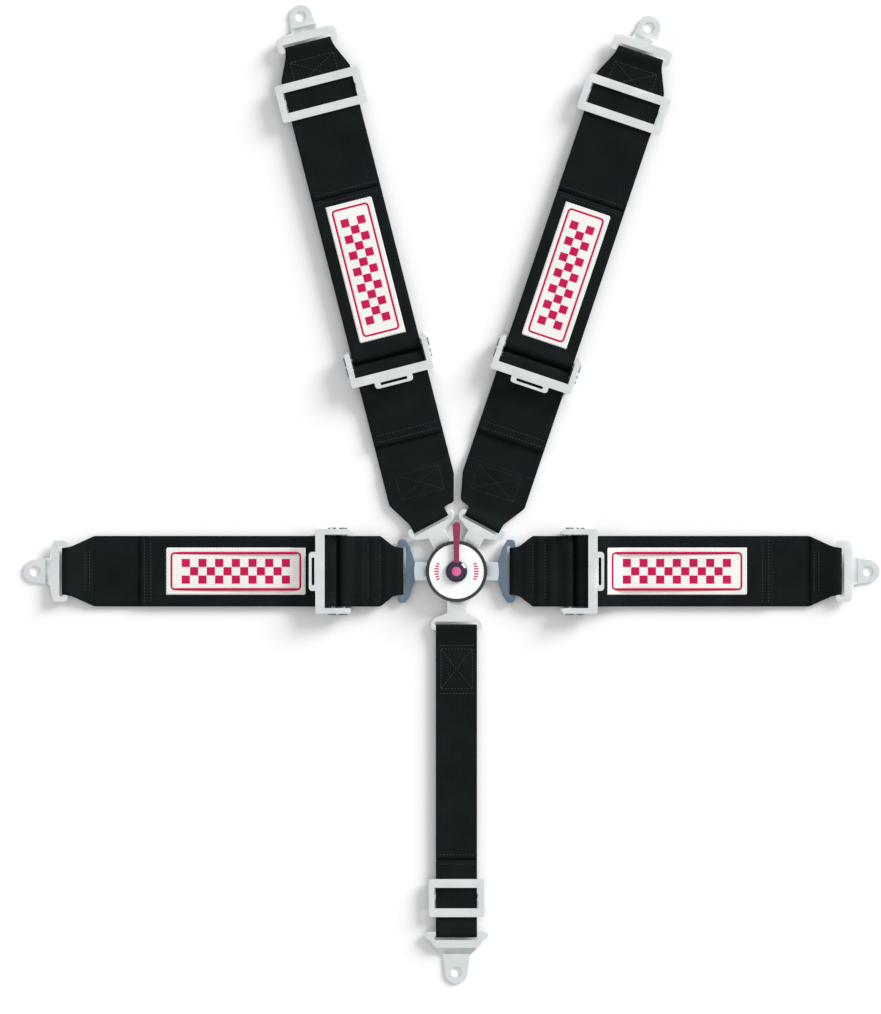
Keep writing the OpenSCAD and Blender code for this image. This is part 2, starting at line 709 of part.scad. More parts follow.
on_right_shoulder()  // right_shoulder_patch
  patch(shoulder_patch_x, high_mid + web_t);
on_right_shoulder()  // right_shoulder_slide
  slide(shoulder_len - shoulder_slide_back, web_w, high_mid - web_t, high_mid + web_t, slide_side);
on_right_shoulder()  // right_shoulder_bracket
  bracket(shoulder_len, high_mid, lap_slot, bracket_side, bracket_back,
    short_narrow);
on_left_shoulder()  // left_shoulder_lower_webbing
  shoulder_lower_webbing(left_shoulder_a - shoulder_tongue_a);
on_left_shoulder()  // left_shoulder_adjuster_frame
  shoulder_adjuster() adjuster_frame();
on_left_shoulder()  // left_shoulder_knurled_bar
  shoulder_adjuster() knurled_bar();
on_left_shoulder() shoulder_adjuster() fixed_pin();  // left_shoulder_fixed_pin
on_left_shoulder()  // left_shoulder_tail
  shoulder_adjuster() tail(shoulder_tail, low_z + ply2);
on_left_shoulder() shoulder_webbing();  // left_shoulder_webbing
on_left_shoulder()  // left_shoulder_patch
  patch(shoulder_patch_x, high_mid + web_t);
on_left_shoulder()  // left_shoulder_slide
  slide(shoulder_len - shoulder_slide_back, web_w, high_mid - web_t, high_mid + web_t, slide_side);
on_left_shoulder()  // left_shoulder_bracket
  bracket(shoulder_len, high_mid, lap_slot, bracket_side, bracket_back,
    short_narrow);
on_right_lap() lap_short_webbing();  // right_lap_short_webbing
on_right_lap() lap_adjuster() adjuster_frame();  // right_lap_adjuster_frame
on_right_lap() lap_adjuster() knurled_bar();  // right_lap_knurled_bar
on_right_lap() lap_adjuster() fixed_pin();  // right_lap_fixed_pin
on_right_lap() lap_adjuster() tail(lap_tail, low_top);  // right_lap_tail
on_right_lap() lap_webbing(right_lap_len);  // right_lap_webbing
on_right_lap() lap_adjuster() tail_patch(low_top);  // right_lap_patch
on_right_lap()  // right_lap_bracket
  bracket(right_lap_len, low_z + loop_out, lap_slot, bracket_side, bracket_back,
    short_narrow);
on_left_lap() lap_short_webbing();  // left_lap_short_webbing
on_left_lap() lap_adjuster() adjuster_frame();  // left_lap_adjuster_frame
on_left_lap() lap_adjuster() knurled_bar();  // left_lap_knurled_bar
on_left_lap() lap_adjuster() fixed_pin();  // left_lap_fixed_pin
on_left_lap() lap_adjuster() tail(lap_tail, low_top);  // left_lap_tail
on_left_lap() lap_webbing(left_lap_len);  // left_lap_webbing
on_left_lap() lap_adjuster() tail_patch(low_top);  // left_lap_patch
on_left_lap()  // left_lap_bracket
  bracket(left_lap_len, low_z + loop_out, lap_slot, bracket_side, bracket_back,
    short_narrow);
on_crotch() crotch_webbing();
on_crotch()  // crotch_slide
  slide(crotch_len - crotch_slide_back, crotch_w, tongue_mid_z - web_t, tongue_mid_z + web_t,
    crotch_slide_side);
on_crotch()  // crotch_bracket
  bracket(crotch_len, tongue_mid_z, crotch_slot, crotch_bracket_side, crotch_bracket_back,
    long_narrow);
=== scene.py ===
# %% [markdown]
# A five-point racing harness, lying flat with its buckle in the middle.
# The metal parts, their sizes and their joints come from a fixed CAD frame. This lesson gives
# them soft edges and plated, painted or coated finishes, and then weaves, folds and sews the
# webbing as its own meshes. Everything is in metres, in the frame's own axes: +Z points up
# from the table and +Y runs from the crotch strap towards the shoulder straps.

# %% Load the frame
import json
import math

import bmesh
import bpy
from mathutils import Matrix, Vector

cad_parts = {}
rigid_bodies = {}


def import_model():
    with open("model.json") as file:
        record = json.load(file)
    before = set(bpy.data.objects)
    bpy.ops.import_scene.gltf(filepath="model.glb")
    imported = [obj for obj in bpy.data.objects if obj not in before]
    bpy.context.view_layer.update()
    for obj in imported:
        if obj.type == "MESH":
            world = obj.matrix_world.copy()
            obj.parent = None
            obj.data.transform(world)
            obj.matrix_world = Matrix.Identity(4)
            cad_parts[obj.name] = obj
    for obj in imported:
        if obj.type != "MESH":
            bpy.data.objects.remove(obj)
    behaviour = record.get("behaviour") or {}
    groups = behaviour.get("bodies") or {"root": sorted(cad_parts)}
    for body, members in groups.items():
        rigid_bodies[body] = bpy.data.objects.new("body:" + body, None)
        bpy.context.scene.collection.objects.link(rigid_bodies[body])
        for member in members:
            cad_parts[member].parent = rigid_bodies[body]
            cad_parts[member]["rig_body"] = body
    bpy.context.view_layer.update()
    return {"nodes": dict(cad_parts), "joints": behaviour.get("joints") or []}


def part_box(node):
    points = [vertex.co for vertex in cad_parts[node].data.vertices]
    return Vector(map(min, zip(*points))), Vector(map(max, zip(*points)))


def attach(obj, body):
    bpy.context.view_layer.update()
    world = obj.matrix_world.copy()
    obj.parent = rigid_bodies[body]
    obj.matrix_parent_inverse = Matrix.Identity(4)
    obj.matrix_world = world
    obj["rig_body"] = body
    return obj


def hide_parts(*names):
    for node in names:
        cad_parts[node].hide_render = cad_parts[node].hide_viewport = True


bpy.ops.wm.read_factory_settings(use_empty=True)
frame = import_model()
MM = 0.001
joints = {j["name"]: j for j in frame["joints"]}

# %% [markdown]
# Each strap is easiest to think of in its own axes: how far along it, how far across it, and how
# high. The frame already knows both facts that this needs. The strap's hinge stands at the bar of
# its tongue, and one of its slides points outward along the webbing. Reading them from the
# joints, and not typing them in, keeps every stitch in line with the hardware.

# %% Strap axes from the joints
def strap_axes(swing, outward):
    """Matrix that takes (along, across, height) in metres to the frame's own axes."""
    foot = Vector(joints[swing]["pos_m"])
    along = Vector(joints[outward]["axis"]).normalized()
    across = Vector((0, 0, 1)).cross(along)
    place = Matrix.Identity(4)
    place.col[0].xyz = along
    place.col[1].xyz = across
    place.translation = (foot.x, foot.y, 0)
    return place


def strap_length(place, anchor):
    """Tongue bar to anchor bracket bar, in metres."""
    return (place.inverted() @ Vector(joints[anchor]["pos_m"])).x


STRAPS = {}
for name in ("left_shoulder", "right_shoulder", "left_lap", "right_lap"):
    STRAPS[name] = strap_axes(f"{name}_strap_swing", f"{name}_length_adjust")
STRAPS["crotch"] = strap_axes("crotch_strap_swing", "crotch_slide_move")
BAR_AT = {name: strap_length(STRAPS[name], f"{name}_anchor_swing") for name in STRAPS}
for name, far in BAR_AT.items():
    print(f"{name}: {far / MM:.0f} mm between its bars")


def local_box(node, place):
    """A node's lowest and highest corners in a strap's own axes."""
    back = place.inverted()
    points = [back @ v.co for v in frame["nodes"][node].data.vertices]
    low = Vector([min(p[i] for p in points) for i in range(3)])
    high = Vector([max(p[i] for p in points) for i in range(3)])
    return low, high


# %% [markdown]
# The camera looks straight down, as at a product laid out on a white table. A long lens from far
# above keeps the straps free of perspective. It is made first, so that every later step can be
# judged from the same place.

# %% Camera
VIEW_CENTRE = Vector((-0.0172, 0.0693, 0))
VIEW_HEIGHT = 1.096
CAMERA_HEIGHT = 5.0

camera_data = bpy.data.cameras.new("camera")
camera = bpy.data.objects.new("camera", camera_data)
bpy.context.scene.collection.objects.link(camera)
camera.location = VIEW_CENTRE + Vector((0, 0, CAMERA_HEIGHT))
camera_data.lens = camera_data.sensor_width * CAMERA_HEIGHT / VIEW_HEIGHT
camera_data.clip_end = 50
bpy.context.scene.camera = camera
print(f"lens {camera_data.lens:.0f} mm at {CAMERA_HEIGHT} m")

# %% [markdown]
# A material here is a small tree of shader nodes. These helpers keep the trees short: one makes
# the empty material, one adds a node and sets its plain inputs, and one wires a height into a
# bump. Numbers that never change are written on the shader's own sockets.

# %% Shader helpers
def new_material(name, **sockets):
    """A material with its Principled shader's sockets set, and its node tree."""
    material = bpy.data.materials.new(name)
    material.use_nodes = True
    shader = material.node_tree.nodes["Principled BSDF"]
    for socket, value in sockets.items():
        shader.inputs[socket.replace("_", " ")].default_value = value
    return material, material.node_tree, shader


def add(tree, kind, settings=None, **inputs):
    """A node of a kind; an input may be a value or another node's output."""
    node = tree.nodes.new(kind)
    for key, value in (settings or {}).items():
        setattr(node, key, value)
    for key, value in inputs.items():
        socket = node.inputs[int(key[1:])] if key[1:].isdigit() else node.inputs[key]
        if isinstance(value, bpy.types.NodeSocket):
            tree.links.new(value, socket)
        else:
            socket.default_value = value
    return node


def math_node(tree, operation, a, b=0.0):
    """The result of one sum; a and b may be numbers or other nodes' outputs."""
    return add(tree, "ShaderNodeMath", {"operation": operation}, _0=a, _1=b).outputs[0]


def ramp(tree, value, stops):
    """Colours spread along a value; stops are (place, colour)."""
    node = add(tree, "ShaderNodeValToRGB", Fac=value)
    elements = node.color_ramp.elements
    while len(elements) < len(stops):
        elements.new(0.5)
    for element, (place, colour) in zip(elements, stops):
        element.position = place
        element.color = (*colour, 1)
    return node.outputs["Color"]


def grey(value):
    return (value, value, value)


def noise(tree, vector, scale, detail=3.0, roughness=0.5):
    node = add(tree, "ShaderNodeTexNoise", Vector=vector, Scale=scale, Detail=detail,
               Roughness=roughness)
    return node.outputs["Fac"]


def bump(tree, shader, height, distance, strength=1.0):
    node = add(tree, "ShaderNodeBump", Height=height, Distance=distance, Strength=strength)
    tree.links.new(node.outputs["Normal"], shader.inputs["Normal"])


# %% [markdown]
# Zinc plating is bright and slightly blue. Up close it is never even: fine tumbling scratches
# cross it, and handling leaves faint cloudy patches that are a little rougher. One noise drives
# the colour and the roughness, a finer second joins the bump, and a stretched third is the
# scratches. The same recipe with other colours gives the duller pins. The lap tongues are bright
# at the neck, and from their shoulders outward they are painted slate blue and less metallic: a
# painted dark reflection standing in for what their sloped plates mirror. So theirs changes with
# the distance from the buckle's centre.

# %% Metal finishes
SCRATCH_DEPTH = 0.02 * MM


def plated(name, light, dark, rough_low, rough_high):
    """Zinc or wire: light and dark are its two tones, rough_low and rough_high its roughness."""
    material, tree, shader = new_material(name, Metallic=1.0)
    spot = add(tree, "ShaderNodeTexCoord").outputs["Object"]
    cloud = noise(tree, spot, 55.0, 4.0)
    fine = noise(tree, spot, 900.0, 2.0)
    tree.links.new(ramp(tree, cloud, [(0.3, dark), (0.7, light)]), shader.inputs["Base Color"])
    patchy = math_node(tree, "MULTIPLY", cloud, rough_high - rough_low)
    tree.links.new(math_node(tree, "ADD", patchy, rough_low), shader.inputs["Roughness"])
    drawn = add(tree, "ShaderNodeMapping", Vector=spot, Scale=(1.0, 9.0, 3.0)).outputs[0]
    lines = noise(tree, drawn, 350.0, 2.0, 0.7)
    bump(tree, shader, math_node(tree, "ADD", lines, fine), SCRATCH_DEPTH, 0.6)
    return material


zinc = plated("bright_zinc", (0.95, 0.98, 0.985), (0.85, 0.91, 0.93), 0.18, 0.44)


def painted_reflection_beyond(name, bare_to, bare, coat, metallic):
    """Bright metal near the buckle's centre, and from bare_to metres outward a painted slate
    reflection.
    """
    material, tree, shader = new_material(name)
    spot = add(tree, "ShaderNodeTexCoord").outputs["Object"]
    reach = add(tree, "ShaderNodeVectorMath", {"operation": "LENGTH"}, _0=spot).outputs["Value"]
    cloud = noise(tree, spot, 55.0, 4.0)
    wavy = math_node(tree, "ADD", reach, math_node(tree, "MULTIPLY", cloud, 0.0015))
    share = math_node(tree, "MULTIPLY", math_node(tree, "SUBTRACT", wavy, bare_to), 1500.0)
    share = math_node(tree, "MINIMUM", math_node(tree, "MAXIMUM", share, 0.0), 1.0)
    # share runs from the bare metal (0) to the painted slate reflection (1), whose two tones are
    # coat
    light = ramp(tree, share, [(0.0, bare[0]), (1.0, coat[0])])
    dark = ramp(tree, share, [(0.0, bare[1]), (1.0, coat[1])])
    shade = add(tree, "ShaderNodeMixRGB", Fac=cloud, Color1=light, Color2=dark).outputs["Color"]
    tree.links.new(shade, shader.inputs["Base Color"])
    tree.links.new(math_node(tree, "SUBTRACT", 1.0, math_node(
        tree, "MULTIPLY", share, 1.0 - metallic)), shader.inputs["Metallic"])
    tree.links.new(math_node(tree, "ADD", 0.2, math_node(tree, "MULTIPLY", cloud, 0.24)),
                   shader.inputs["Roughness"])
    bump(tree, shader, noise(tree, spot, 700.0, 3.0), SCRATCH_DEPTH, 0.6)
    return material


# bright neck, then slate blue from 47 mm outward as a painted dark reflection
slate_reflection_tongue = painted_reflection_beyond("slate_tongue_bright_neck", 47 * MM,
                             ((0.86, 0.93, 0.95), (0.74, 0.83, 0.87)),
                             ((0.185, 0.265, 0.345), (0.10, 0.155, 0.225)), 0.6)
dull_zinc = plated("dull_zinc_pin", (0.33, 0.38, 0.42), (0.17, 0.20, 0.23), 0.3, 0.55)
spring_wire = plated("spring_wire", (0.62, 0.64, 0.66), (0.45, 0.47, 0.49), 0.2, 0.4)
print("metals:", zinc.name, slate_reflection_tongue.name, dull_zinc.name, spring_wire.name)

# %% [markdown]
# The knurled bar grips the webbing with tiny pyramids. Two families of slanted ridges crossed
# over each other give that diamond pattern as a bump, which is enough on a bar 7 mm thick. The
# same pattern paints the grooves darker and the peaks lighter, as painted shade and highlight.

# %% Knurling
KNURL_PITCH = 1.1 * MM


def knurled_metal():
    material, tree, shader = new_material("knurled_steel", Metallic=1.0, Roughness=0.34)
    place = add(tree, "ShaderNodeTexCoord").outputs["Object"]
    axes = add(tree, "ShaderNodeSeparateXYZ", Vector=place).outputs
    flat = math_node(tree, "ADD", axes[0], axes[1])
    tall = math_node(tree, "MULTIPLY", axes[2], 1.4)
    turns = 2 * math.pi / KNURL_PITCH
    ridges = []
    for operation in ("ADD", "SUBTRACT"):
        slanted = math_node(tree, operation, flat, tall)
        ridges.append(math_node(tree, "SINE", math_node(tree, "MULTIPLY", slanted, turns)))
    height = math_node(tree, "MULTIPLY", ridges[0], ridges[1])
    # the grooves are painted darker than the peaks: painted shade and highlight
    tree.links.new(ramp(tree, height, [(0.0, (0.34, 0.37, 0.4)), (0.8, (0.68, 0.73, 0.76))]),
                   shader.inputs["Base Color"])
    bump(tree, shader, height, 0.0003)
    return material


knurled = knurled_metal()

# %% [markdown]
# Painted and moulded pieces share one idea: a base colour that drifts by a few per cent, a faint
# orange-peel bump, and a clear coat on the glossy ones. The lever and the dark hub are glossy,
# the housing is satin, and the buckle's face is a smooth satin white. The boss at the lever's
# root is red like the lever, and its lighter rose is a painted highlight on its dome.

# %% Paint and mouldings
PEEL_DEPTH = 0.02 * MM


def painted(name, light, dark, rough, coat=0.0):
    """Paint or moulding: light and dark are its two tones, and coat is its gloss on top."""
    material, tree, shader = new_material(name, Roughness=rough, Coat_Weight=coat,
                                          Coat_Roughness=0.06)
    spot = add(tree, "ShaderNodeTexCoord").outputs["Object"]
    drift = noise(tree, spot, 70.0, 4.0)
    tree.links.new(ramp(tree, drift, [(0.35, dark), (0.65, light)]), shader.inputs["Base Color"])
    bump(tree, shader, noise(tree, spot, 1300.0, 2.0), PEEL_DEPTH, 0.5)
    return material


crimson_paint = painted("crimson_lever_paint", (0.28, 0.004, 0.075), (0.19, 0.002, 0.05),
                        0.3, 0.7)
# red like the lever but painted lighter rose: a painted highlight on the boss's dome
boss_painted_highlight = painted("rose_boss_paint", (0.74, 0.13, 0.33), (0.60, 0.07, 0.23), 0.35, 0.5)
hub_gloss = painted("navy_hub_gloss", (0.012, 0.005, 0.045), (0.005, 0.002, 0.022), 0.16, 0.5)
rim_gloss = painted("black_rim_gloss", (0.02, 0.022, 0.026), (0.009, 0.01, 0.012), 0.25, 0.4)
housing_satin = painted("black_housing_satin", (0.045, 0.05, 0.055), (0.025, 0.028, 0.03), 0.5)
face_white = painted("white_face_satin", (0.93, 0.94, 0.94), (0.88, 0.89, 0.90), 0.38, 0.2)
mark_red = painted("crimson_face_marks", (0.62, 0.02, 0.13), (0.52, 0.012, 0.10), 0.4)

# %% [markdown]
# Harness webbing is woven flat from thick polyester yarns. The eye sees lengthwise ribs that are
# broken into small slanting steps, with a denser selvedge at both edges. The mesh carries a map
# in real metres, along and across the strap, so the weave can be written as ribs of a known
# width: a sine across the strap, shifted a little with every pick along it. The yarn also has a
# soft sheen, and it fades to a slightly greener black where it is rubbed. The weave also goes
# into the colour: the hollows between the ribs are painted darker than their crowns, as painted
# shade.

# %% Woven webbing
RIB = 1.9 * MM
PICK = 1.3 * MM
YARN_DEPTH = 0.22 * MM


def woven(name, light, dark, shine, sheen=0.15):
    """Cloth: light and dark are its two tones, and shine is the colour of its sheen."""
    material, tree, shader = new_material(name, Roughness=0.78, Sheen_Weight=sheen,
                                          Sheen_Roughness=0.45)
    shader.inputs["Sheen Tint"].default_value = (*shine, 1)
    shader.inputs["Specular IOR Level"].default_value = 0.09
    cloth = add(tree, "ShaderNodeUVMap", {"uv_map": "cloth"}).outputs["UV"]
    axes = add(tree, "ShaderNodeSeparateXYZ", Vector=cloth).outputs
    across = math_node(tree, "MULTIPLY", axes[1], 2 * math.pi / RIB)
    along = math_node(tree, "MULTIPLY", axes[0], 2 * math.pi / PICK)
    rib = math_node(tree, "SINE", across)
    step = math_node(tree, "SINE", math_node(tree, "ADD", along, math_node(
        tree, "MULTIPLY", rib, 1.6)))
    weave = math_node(tree, "ADD", math_node(tree, "MULTIPLY", rib, 0.6),
                      math_node(tree, "MULTIPLY", step, 0.4))
    wear = noise(tree, cloth, 26.0, 5.0, 0.6)
    fuzz = noise(tree, cloth, 1500.0, 2.0)
    # the weave term darkens the hollows between ribs as painted shade; wear and fuzz are the
    # yarn's own tone
    shade = math_node(tree, "ADD", math_node(tree, "MULTIPLY", weave, 0.22),
                      math_node(tree, "ADD", math_node(tree, "MULTIPLY", wear, 0.9),
                                math_node(tree, "MULTIPLY", fuzz, 0.12)))
    tree.links.new(ramp(tree, shade, [(0.2, dark), (0.85, light)]), shader.inputs["Base Color"])
    bump(tree, shader, math_node(tree, "ADD", weave, math_node(tree, "MULTIPLY", fuzz, 0.5)),
         YARN_DEPTH, 0.8)
    return material


webbing_black = woven("black_webbing", (0.0085, 0.0125, 0.0138), (0.0022, 0.0038, 0.0044),
                      (0.4, 0.55, 0.6), 0.02)
patch_white = woven("patch_ground", (0.93, 0.93, 0.90), (0.82, 0.82, 0.79), (1.0, 1.0, 1.0))
patch_red = woven("patch_crimson_thread", (0.66, 0.012, 0.10), (0.48, 0.006, 0.06),
                  (1.0, 0.6, 0.6))
thread_black = painted("black_thread", (0.02, 0.026, 0.028), (0.009, 0.012, 0.013), 0.65)
print("fabrics:", webbing_black.name, patch_white.name, patch_red.name)

# %% [markdown]
# Sawn-off CAD edges never catch the light, and real stampings do: tumbling rounds every edge. A
# copy of the CAD mesh with a small bevel keeps the exact size and place, and the copy then stands
# for the CAD part. Its flat triangles are first paired into four-sided faces, which bevel more
# cleanly than triangles and can't close over a slot as one big face could.

# %% Hardware with softened edges
def link(name, mesh, material, body):
    """Puts a mesh into the scene on its body, with its material."""
    obj = bpy.data.objects.new(name, mesh)
    bpy.context.scene.collection.objects.link(obj)
    obj.data.materials.clear()
    obj.data.materials.append(material)
    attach(obj, body)
    return obj


def soften(node, material, radius, steps=3):
    """A bevelled copy of a CAD node, which it replaces."""
    source = frame["nodes"][node]
    mesh = source.data.copy()
    cleaner = bmesh.new()
    cleaner.from_mesh(mesh)
    bmesh.ops.remove_doubles(cleaner, verts=cleaner.verts, dist=0.002 * MM)
    bmesh.ops.join_triangles(cleaner, faces=cleaner.faces, angle_face_threshold=math.radians(1.5),
                             angle_shape_threshold=math.radians(180))
    cleaner.to_mesh(mesh)
    cleaner.free()
    for polygon in mesh.polygons:
        polygon.use_smooth = True
    copy = link(f"{node}_finished", mesh, material, source["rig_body"])
    bevel = copy.modifiers.new("soft_edges", "BEVEL")
    bevel.width = radius
    bevel.segments = steps
    bevel.limit_method = "ANGLE"
    bevel.angle_limit = math.radians(38)
    bevel.harden_normals = True
    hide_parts(node)


EDGE_RADIUS = {"tongue": 0.45 * MM, "bracket": 0.4 * MM, "adjuster_frame": 0.5 * MM,
               "slide": 0.5 * MM}
for node in sorted(frame["nodes"]):
    for ending, radius in EDGE_RADIUS.items():
        # the lap tongues take the painted slate reflection
        if node.endswith("lap_" + ending) and ending == "tongue":
            soften(node, slate_reflection_tongue, radius)
        elif node.endswith("_" + ending):
            soften(node, zinc, radius)
soften("lever", crimson_paint, 0.8 * MM, 4)
soften("hub_screw", boss_painted_highlight, 0.5 * MM)
soften("buckle_cover", rim_gloss, 0.35 * MM)
soften("buckle_back_plate", zinc, 0.4 * MM)
print("hardware softened")

# %% Finishes straight on the CAD parts
CAD_FINISH = {
    "knurled_bar": knurled, "fixed_pin": dull_zinc, "cam_plate": dull_zinc,
    "buckle_housing": housing_satin, "buckle_face_disc": face_white, "lever_hub": hub_gloss,
    "latch_springs": spring_wire, "lever_return_spring": spring_wire, "latch_pin": zinc,
    "housing_screws": dull_zinc, "fixed_tongue_screw": dull_zinc,
}
for node, obj in frame["nodes"].items():
    for ending, finish in CAD_FINISH.items():
        if node.endswith(ending):
            obj.data.materials.clear()
            obj.data.materials.append(finish)

# %% [markdown]
# A strap of webbing is a long ribbon that keeps its thickness wherever it bends. It is drawn from
# the side as a path of points, and a closed ring of points is set up square to that path at every
# step. The ring's edges are thinner than its middle, which gives the rounded selvedge. Modelling
# it directly keeps the folds crisp, where a cloth simulation would melt them.

# %% Ribbon helper
WEB_T = 1.4 * MM
STEP = 2.6 * MM
RING = 18
SMOOTHING = 2


def arc(centre, radius, start, end):
    """Points (along, height) round a bar; angles in degrees."""
    count = max(6, int(abs(end - start) / 14))
    turns = [math.radians(start + (end - start) * i / count) for i in range(count + 1)]
    return [(centre[0] + radius * math.cos(a), centre[1] + radius * math.sin(a)) for a in turns]


def even(path):
    """The path again at even steps, with its corners eased."""
    lengths = [0.0]
    for a, b in zip(path, path[1:]):
        lengths.append(lengths[-1] + math.dist(a, b))
    count = max(4, round(lengths[-1] / STEP))
    points, k = [], 0
    for i in range(count + 1):
        target = lengths[-1] * i / count
        while k < len(lengths) - 2 and lengths[k + 1] < target:
            k += 1
        share = (target - lengths[k]) / max(1e-9, lengths[k + 1] - lengths[k])
        a, b = path[k], path[k + 1]
        points.append((a[0] + (b[0] - a[0]) * share, a[1] + (b[1] - a[1]) * share))
    for _ in range(SMOOTHING):
        points = [points[0]] + [
            tuple(0.25 * p[i] + 0.5 * q[i] + 0.25 * r[i] for i in (0, 1))
            for p, q, r in zip(points, points[1:], points[2:])] + [points[-1]]
    return points


def ring_profile(half):
    """(across, share of half the thickness) round a cross-section of the ribbon."""
    flat = half - 0.8 * MM
    top = [(flat * (2 * i / RING - 1), 1.0) for i in range(RING + 1)]
    edge = [(half - 0.2 * MM, 0.62), (half, 0.0), (half - 0.2 * MM, -0.62)]
    bottom = [(-y, -share) for y, share in top]
    return top + edge + bottom + [(-y, -share) for y, share in edge]


def cloth_mesh(name, rings, lengths, profile_across):
    """A closed tube of rings, with a map in metres along and across."""
    size = len(rings[0])
    mesh = bpy.data.meshes.new(name)
    faces = [(i * size + k, i * size + (k + 1) % size, (i + 1) * size + (k + 1) % size,
              (i + 1) * size + k) for i in range(len(rings) - 1) for k in range(size)]
    last = (len(rings) - 1) * size
    faces.append(tuple(range(size - 1, -1, -1)))
    faces.append(tuple(last + k for k in range(size)))
    mesh.from_pydata([p for ring in rings for p in ring], [], faces)
    layer = mesh.uv_layers.new(name="cloth")
    for loop in mesh.loops:
        i, k = divmod(loop.vertex_index, size)
        layer.data[loop.index].uv = (lengths[i], profile_across[i][k])
    for polygon in mesh.polygons:
        polygon.use_smooth = polygon.loop_total == 4
    shape = bmesh.new()
    shape.from_mesh(mesh)
    bmesh.ops.recalc_face_normals(shape, faces=shape.faces)
    shape.to_mesh(mesh)
    shape.free()
    return mesh


def ribbon(name, path, half_width, place, body, node, edges=None):
    """Webbing along a side path, which it returns at even steps. half_width(along) is in metres.
    edges(along), if given, puts the two edges at their own places (along, across) in plan."""
    points = even(path)
    rings, lengths, across = [], [], []
    travelled = 0.0
    for i, (x, z) in enumerate(points):
        before, after = points[max(0, i - 1)], points[min(len(points) - 1, i + 1)]
        tangent = Vector((after[0] - before[0], after[1] - before[1])).normalized()
        normal = (-tangent.y, tangent.x)
        if i:
            travelled += math.dist(points[i - 1], (x, z))
        half = half_width(x)
        left, right = Vector((x, -half)), Vector((x, half))
        if edges:
            left, right = edges(x)
            half = (right - left).length / 2
        middle, across_way = (left + right) / 2, (right - left).normalized()
        forward = Vector((across_way.y, -across_way.x))
        profile = ring_profile(half)
        ring = []
        for y, share in profile:
            lift = share * WEB_T / 2
            spot = middle + across_way * y + forward * normal[0] * lift
            ring.append(place @ Vector((spot.x, spot.y, z + normal[1] * lift)))
        rings.append(ring)
        lengths.append(travelled)
        across.append([y for y, _ in profile])
    piece = link(name, cloth_mesh(name, rings, lengths, across), webbing_black, body)
    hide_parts(node)
    return points


def ease(t):
    """0 to 1 with a soft start and a soft end."""
    t = min(1.0, max(0.0, t))
    return t * t * (3 - 2 * t)


def taper(x, stops):
    """Half width at x from (x, half width) stops, straight between them."""
    for (x0, w0), (x1, w1) in zip(stops, stops[1:]):
        if x <= x1:
            return w0 + (w1 - w0) * min(1.0, max(0.0, (x - x0) / (x1 - x0)))
    return stops[-1][1]


# %% [markdown]
# Thread holds a harness together, so the seams are real stitches. Each one is a little lozenge of
# thread that dips into the webbing at both ends. They are laid end to end along a line, and a
# whole seam becomes one mesh. Load-bearing seams use the box with a cross inside it.

# %% Stitching helper
STITCH_PITCH = 3.4 * MM
THREAD = 0.85 * MM


def stitch_run(points):
    """Start and end of each stitch along a line of (along, across) corners."""
    runs = []
    for a, b in zip(points, points[1:]):
        span = math.dist(a, b)
        count = max(1, round(span / STITCH_PITCH))
        for i in range(count):
            t0, t1 = (i + 0.10) / count, (i + 0.90) / count
            runs.append([tuple(a[k] + (b[k] - a[k]) * t for k in (0, 1)) for t in (t0, t1)])
    return runs


def box_stitch(x0, x1, y0, y1):
    """Outline of a box seam, crossed corner to corner."""
    return [[(x0, y0), (x1, y0), (x1, y1), (x0, y1), (x0, y0)], [(x0, y0), (x1, y1)],
            [(x0, y1), (x1, y0)]]


def sew(name, lines, height, place, body, material=thread_black, girth=THREAD):
    """One mesh of stitches on a surface; height(along) is the surface's top."""
    vertices, faces = [], []
    # a stitch's cross-sections: how far along it, share of its girth, lift as a share of that
    shape = [(0.0, 0.25, -0.35), (0.18, 0.9, 0.0), (0.5, 1.0, 0.30), (0.82, 0.9, 0.0),
             (1.0, 0.25, -0.35)]
    sides = 6
    for line in lines:
        for a, b in stitch_run(line):
            direction = Vector((b[0] - a[0], b[1] - a[1])).normalized()
            side = Vector((-direction.y, direction.x))
            start = len(vertices)
            for t, girth_share, lift in shape:
                x, y = a[0] + (b[0] - a[0]) * t, a[1] + (b[1] - a[1]) * t
                z = height(x) + lift * girth
                for k in range(sides):
                    turn = 2 * math.pi * k / sides
                    out = math.cos(turn) * girth * girth_share / 2
                    up = math.sin(turn) * girth * girth_share / 2
                    vertices.append(place @ Vector((x + side.x * out, y + side.y * out, z + up)))
            for i in range(len(shape) - 1):
                for k in range(sides):
                    p, q = start + i * sides, start + (i + 1) * sides
                    faces.append((p + k, p + (k + 1) % sides, q + (k + 1) % sides, q + k))
            faces.append(tuple(start + k for k in range(sides - 1, -1, -1)))
            end = start + (len(shape) - 1) * sides
            faces.append(tuple(end + k for k in range(sides)))
    mesh = bpy.data.meshes.new(name)
    mesh.from_pydata(vertices, [], faces)
    for polygon in mesh.polygons:
        polygon.use_smooth = True
    link(name, mesh, material, body)


# %% [markdown]
# The two shoulder straps are the same product. Below the adjuster is the lower webbing: it loops
# round the bar of its tongue, lies double as far as a seam, and runs on single under the
# adjuster. Its tail comes back over the knurled bar. Above the adjuster is the main webbing: it
# loops round the fixed pin, lies double, and loops again round the bar of the anchor bracket.
# The lower webbing also turns in its tongue, because the tongue points at the buckle and the
# strap does not. So its two edges are placed one by one: the inner edge runs almost straight
# down beside the other strap, and the outer edge is folded in sharply, close to the tongue.

